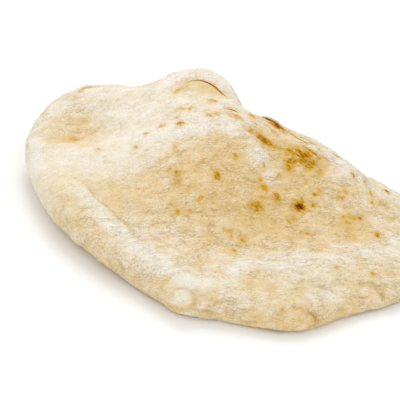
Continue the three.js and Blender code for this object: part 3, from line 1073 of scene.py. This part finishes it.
class Shader:
    """Places nodes in a material, joins them, and keeps the named values by their names."""

    # A Mix node's factor, its two colours, and the colour that it gives out, among its sockets.
    MIX_INPUTS = (0, 6, 7)
    MIX_OUTPUT = 2

    def __init__(self, material):
        material.use_nodes = True
        self.nodes = material.node_tree.nodes
        self.links = material.node_tree.links
        self.surface = self.nodes["Principled BSDF"]
        self.values = {}

    def node(self, kind, inputs=None, **settings):
        """A node of a kind, with its settings, and its inputs set or joined."""
        made = self.nodes.new("ShaderNode" + kind)
        for name, value in settings.items():
            setattr(made, name, value)
        for name, value in (inputs or {}).items():
            self.feed(made.inputs[name], value)
        return made

    def feed(self, socket, value):
        """Joins another node's output to a socket, or sets the socket to a plain value."""
        if isinstance(value, bpy.types.NodeSocket):
            self.links.new(value, socket)
        else:
            socket.default_value = value

    def finish(self, name, value):
        """Sets one of the surface's own inputs."""
        self.feed(self.surface.inputs[name], value)

    def maths(self, operation, first, second):
        """One arithmetic operation on two values."""
        return self.node("Math", {0: first, 1: second}, operation=operation).outputs["Value"]

    def ramped(self, value, ramp, smooth=True):
        """A value turned into another by a ramp, smoothly or straight, and flat past its ends."""
        ends = {"From Min": ramp.low, "From Max": ramp.high, "To Min": ramp.to_low, "To Max": ramp.to_high}
        kind = "SMOOTHSTEP" if smooth else "LINEAR"
        return self.node("MapRange", {"Value": value, **ends}, interpolation_type=kind).outputs["Result"]

    def mix(self, factor, first, second):
        """The first colour where the factor is 0, and the second where it is 1."""
        inputs = dict(zip(self.MIX_INPUTS, (factor, first, second)))
        return self.node("Mix", inputs, data_type="RGBA").outputs[self.MIX_OUTPUT]

    def weighted(self, weights, start=0.0):
        """The sum of some of the named values, each times its weight, from a start."""
        total = start
        for name, weight in weights.items():
            total = self.maths("ADD", total, self.maths("MULTIPLY", self.values[name], weight))
        return total

    def combed(self, stretch, turn=0):
        """The place on the piece, turned to the wrinkles' way and pressed together along it."""
        place = self.node("TexCoord").outputs["Object"]
        turned = {"Vector": place, "Rotation": (0, 0, -np.radians(COMB_TURN + turn))}
        pressed = {"Vector": self.node("Mapping", turned).outputs["Vector"], "Scale": (1 / stretch, 1, 1)}
        return self.node("Mapping", pressed).outputs["Vector"]

    def noise(self, size_mm, stretch, detail, turn):
        """Noise, 0 to 1, whose cells are so many mm wide and so many times as long."""
        settings = {"Vector": self.combed(stretch, turn), "Scale": 1 / (size_mm * MM), "Detail": detail}
        return self.node("TexNoise", settings).outputs["Fac"]

    def grain(self, size_mm, stretch, detail, turn):
        """Noise whose middle is spread to go from -1 to 1."""
        spread = Ramp(*NOISE_MIDDLE, -1, 1)
        return self.ramped(self.noise(size_mm, stretch, detail, turn), spread, smooth=False)

    def hairs(self, size_mm, stretch, turn, kept):
        """Thin lines, 1 on each and 0 off it, where a noise turned by an angle passes its middle.
        They are kept where a broader noise is above a level, and fade out below it."""
        level = self.maths("ABSOLUTE", self.grain(size_mm, stretch, 1, turn), 0.0)
        region = self.noise(HAIR_REGION_SIZE * size_mm, HAIR_REGION_STRETCH, 1, turn)
        share = self.ramped(region, Ramp(kept + HAIR_FADE[0], kept + HAIR_FADE[1]))
        return self.maths("MULTIPLY", self.ramped(level, Ramp(0.0, HAIR_WIDTH, 1, 0)), share)

    def dots(self, cell_mm, share):
        """1 in the middle of a random share of cells of so many mm, and 0 round them."""
        settings = {"Vector": self.combed(SPECK_STRETCH), "Scale": 1 / (cell_mm * MM)}
        cells = self.node("TexVoronoi", settings)
        chosen = self.node("SeparateColor", {"Color": cells.outputs["Color"]}).outputs["Red"]
        chosen = self.ramped(chosen, Ramp(1 - share, 1 - share + SPECK_CHOICE_FADE))
        dot = self.ramped(cells.outputs["Distance"], Ramp(*SPECK_EDGE, 1, 0))
        return self.maths("MULTIPLY", chosen, dot)


def name_values(shader, fields):
    """Names the grains, the hairs and the piece's own fields. Floury is the flour, mottled by
    grain and with painted shade from the wrinkles, less in their valleys, and bare is how coarse the crust
    is where neither flour nor toast covers it."""
    for name, grain in GRAINS.items():
        shader.values[name] = shader.grain(*grain)
    for name, hair in HAIRS.items():
        shader.values[name] = shader.hairs(*hair)
    for name in fields:
        shader.values[name] = shader.node("Attribute", attribute_name=name).outputs["Fac"]
    floury = shader.weighted(FLOUR_MOTTLE_AND_SHADE)
    unfloured = shader.ramped(floury, BARE_FLOUR_RAMP)
    untoasted = shader.ramped(shader.values["toast"], BARE_TOAST_RAMP)
    bare = shader.maths("MULTIPLY", shader.values["coarse"], unfloured)
    shader.values["floury"] = floury
    shader.values["bare"] = shader.maths("MULTIPLY", bare, untoasted)


def dough_colour(shader):
    """Cream, gilded and floured, with painted shade: more golden in the wrinkles' valleys, and the fold
    colour laid into the creases.
    """
    mottle_and_shade = shader.maths("MULTIPLY", shader.weighted(GOLD_MOTTLE_AND_SHADE), shader.values["coarse"])
    golden = shader.maths("MULTIPLY", shader.values["golden"], shader.maths("ADD", mottle_and_shade, 1.0))
    colour = shader.mix(shader.ramped(golden, GOLDEN_RAMP), CREAM, GOLD)
    colour = shader.mix(shader.ramped(shader.values["floury"], FLOUR_RAMP), colour, FLOUR)
    return shader.mix(shader.ramped(shader.values["groove"], GROOVE_RAMP), colour, FOLD)


def toasted(shader, colour):
    """The colour, turned ochre, brown and burnt by the toast, which grain breaks up."""
    toast = shader.maths("MULTIPLY", shader.values["toast"], shader.weighted(TOAST_MOTTLE, 1.0))
    for burnt, ramp in TOAST_RAMPS:
        colour = shader.mix(shader.ramped(toast, ramp), colour, burnt)
    return colour


def seamed(shader, colour):
    """The colour, darkened along the seams, which are burnt, and painted shadow on the crescent flap:
    1 less the distance over the line's half thickness is 0 at the line's edge and 1 in its middle."""
    aside = shader.maths("ABSOLUTE", shader.values["seam_aside"], 0.0)
    thick = shader.maths("MAXIMUM", shader.values["seam_thick"], SEAM_LEAST)
    inside = shader.maths("SUBTRACT", 1.0, shader.maths("DIVIDE", aside, thick))
    inside = shader.weighted(SEAM_MOTTLE, inside)
    for burnt, ramp in SEAM_RAMPS:
        colour = shader.mix(shader.ramped(inside, ramp), colour, burnt)
    return colour


def specked(shader, colour):
    """The colour, with brown specks where the grain is coarse and fine hairs where it is bare."""
    specks = 0.0
    for cell_mm, share, amount in SPECKS:
        dots = shader.maths("MULTIPLY", shader.dots(cell_mm, share), amount)
        specks = shader.maths("ADD", specks, dots)
    coarse = shader.ramped(shader.values["coarse"], SPECK_COARSE_RAMP)
    colour = shader.mix(shader.maths("MULTIPLY", specks, coarse), colour, BROWN)
    hairs = shader.maths("MULTIPLY", shader.weighted(HAIR_TINT), shader.values["bare"])
    return shader.mix(hairs, colour, FOLD)


def shaded(shader, colour):
    """The colour times 1 plus the grain's light and dark and the painted shade and light of the wrinkles,
    which is stronger in blue.
    """
    shade = shader.weighted(BARE_SHADE, BARE_SHADE_START)
    shade = shader.maths("MULTIPLY", shade, shader.values["bare"])
    shade = shader.weighted(SHADE, shader.maths("ADD", shade, SHADE_START))
    warm = shader.node("VectorMath", {0: shade, 1: WARM_SHADE, 2: WHITE}, operation="MULTIPLY_ADD")
    both = {0: colour, 1: warm.outputs["Vector"]}
    return shader.node("VectorMath", both, operation="MULTIPLY").outputs["Vector"]


def crust_material(fields):
    """Cream, gilded and floured by the crust's own fields and by grain, with painted shade in the creases
    and wrinkles and painted light on the far rim, then toasted, with a fine bump from the same grain."""
    material = bpy.data.materials.new("floury crust")
    shader = Shader(material)
    name_values(shader, fields)
    colour = seamed(shader, toasted(shader, dough_colour(shader)))
    shader.finish("Base Color", shaded(shader, specked(shader, colour)))
    shader.finish("Roughness", shader.ramped(shader.values["floury"], ROUGHNESS_RAMP))
    height = shader.maths("MULTIPLY", shader.weighted(HEIGHT), shader.values["coarse"])
    settings = {"Height": height, "Strength": BUMP_STRENGTH, "Distance": BUMP_DISTANCE}
    bump = shader.node("Bump", settings)
    shader.finish("Normal", bump.outputs["Normal"])
    shader.finish("Specular IOR Level", CRUST_SPECULAR)
    return material


# ---------------- the crust's mesh

def smooth_crust():
    """The bread's smooth points and normals, the upper face's grid and then the lower one's. The
    middle of their box is put over the solid's."""
    ring, angle = disc_grid(UPPER_CELLS)
    upper = upper_face(angle, even_shares(ring, ROLL_HEIGHT, ROLL_WIDTH))
    ring, angle = disc_grid(LOWER_CELLS)
    step = MEAN_RADIUS / (LOWER_CELLS / 2)
    lower = lower_face(angle, even_shares(ring, RIM_LOWEST, CURL_SPREAD * RIM_LOWEST, tail=step))

    points = np.concatenate([upper.reshape(-1, 3), lower.reshape(-1, 3)])
    normals = np.concatenate([grid_normals(upper).reshape(-1, 3), -grid_normals(lower).reshape(-1, 3)])
    middle = (points.min(0) + points.max(0)) / 2
    cad_middle = (np.array(CAD_BOX[0]) + np.array(CAD_BOX[1])) / 2 / MM
    points[:, :2] += (cad_middle - middle)[:2]
    return Crust(points, normals)


def crust_faces():
    """Both grids' quads, and the strip of triangles that joins their borders."""
    lower = (UPPER_CELLS + 1) ** 2
    faces = grid_faces(UPPER_CELLS, 0, True).tolist() + grid_faces(LOWER_CELLS, lower, False).tolist()
    return faces + border_strip(grid_border(UPPER_CELLS, 0), grid_border(LOWER_CELLS, lower)).tolist()


def make_crust():
    """The crust: the smooth points moved along their normals by all the relief, and kept on or
    above the table, with the fields that its material reads."""
    crust = smooth_crust()
    coarse = coarse_field(crust)
    ripple = ripple_field(crust, coarse)
    grooves, steps = crease_relief(crust)
    toast = toast_field(crust)
    relief = ripple + baked_relief(crust) + steps - grooves
    relief += crust.spot_bells(BLISTERS, BLISTER_POWER) + MARK_SWELL * ease(MARK_SWELL_TOAST, toast)
    shaped = crust.points + crust.normals * relief[:, None]
    shaped[:, 2] = np.maximum(shaped[:, 2], 0)

    mesh = bpy.data.meshes.new("pita_crust")
    mesh.from_pydata((shaped * MM).tolist(), [], crust_faces())
    mesh.shade_smooth()
    seam_aside, seam_thick = seam_fields(crust)
    fields = {
        "toast": toast,
        "seam_aside": seam_aside,
        "seam_thick": seam_thick,
        "golden": golden_field(crust, coarse, grooves),
        "flour": flour_field(crust),
        "coarse": coarse,
        "ripple": ripple,
        "groove": grooves,
    }
    for name, values in fields.items():
        mesh.attributes.new(name, "FLOAT", "POINT").data.foreach_set("value", values)
    mesh.materials.append(crust_material(fields))

    piece = put("pita_crust", mesh)
    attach(piece, "root")
    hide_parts("pita")


make_camera()
make_floor()
make_light()
make_crust()
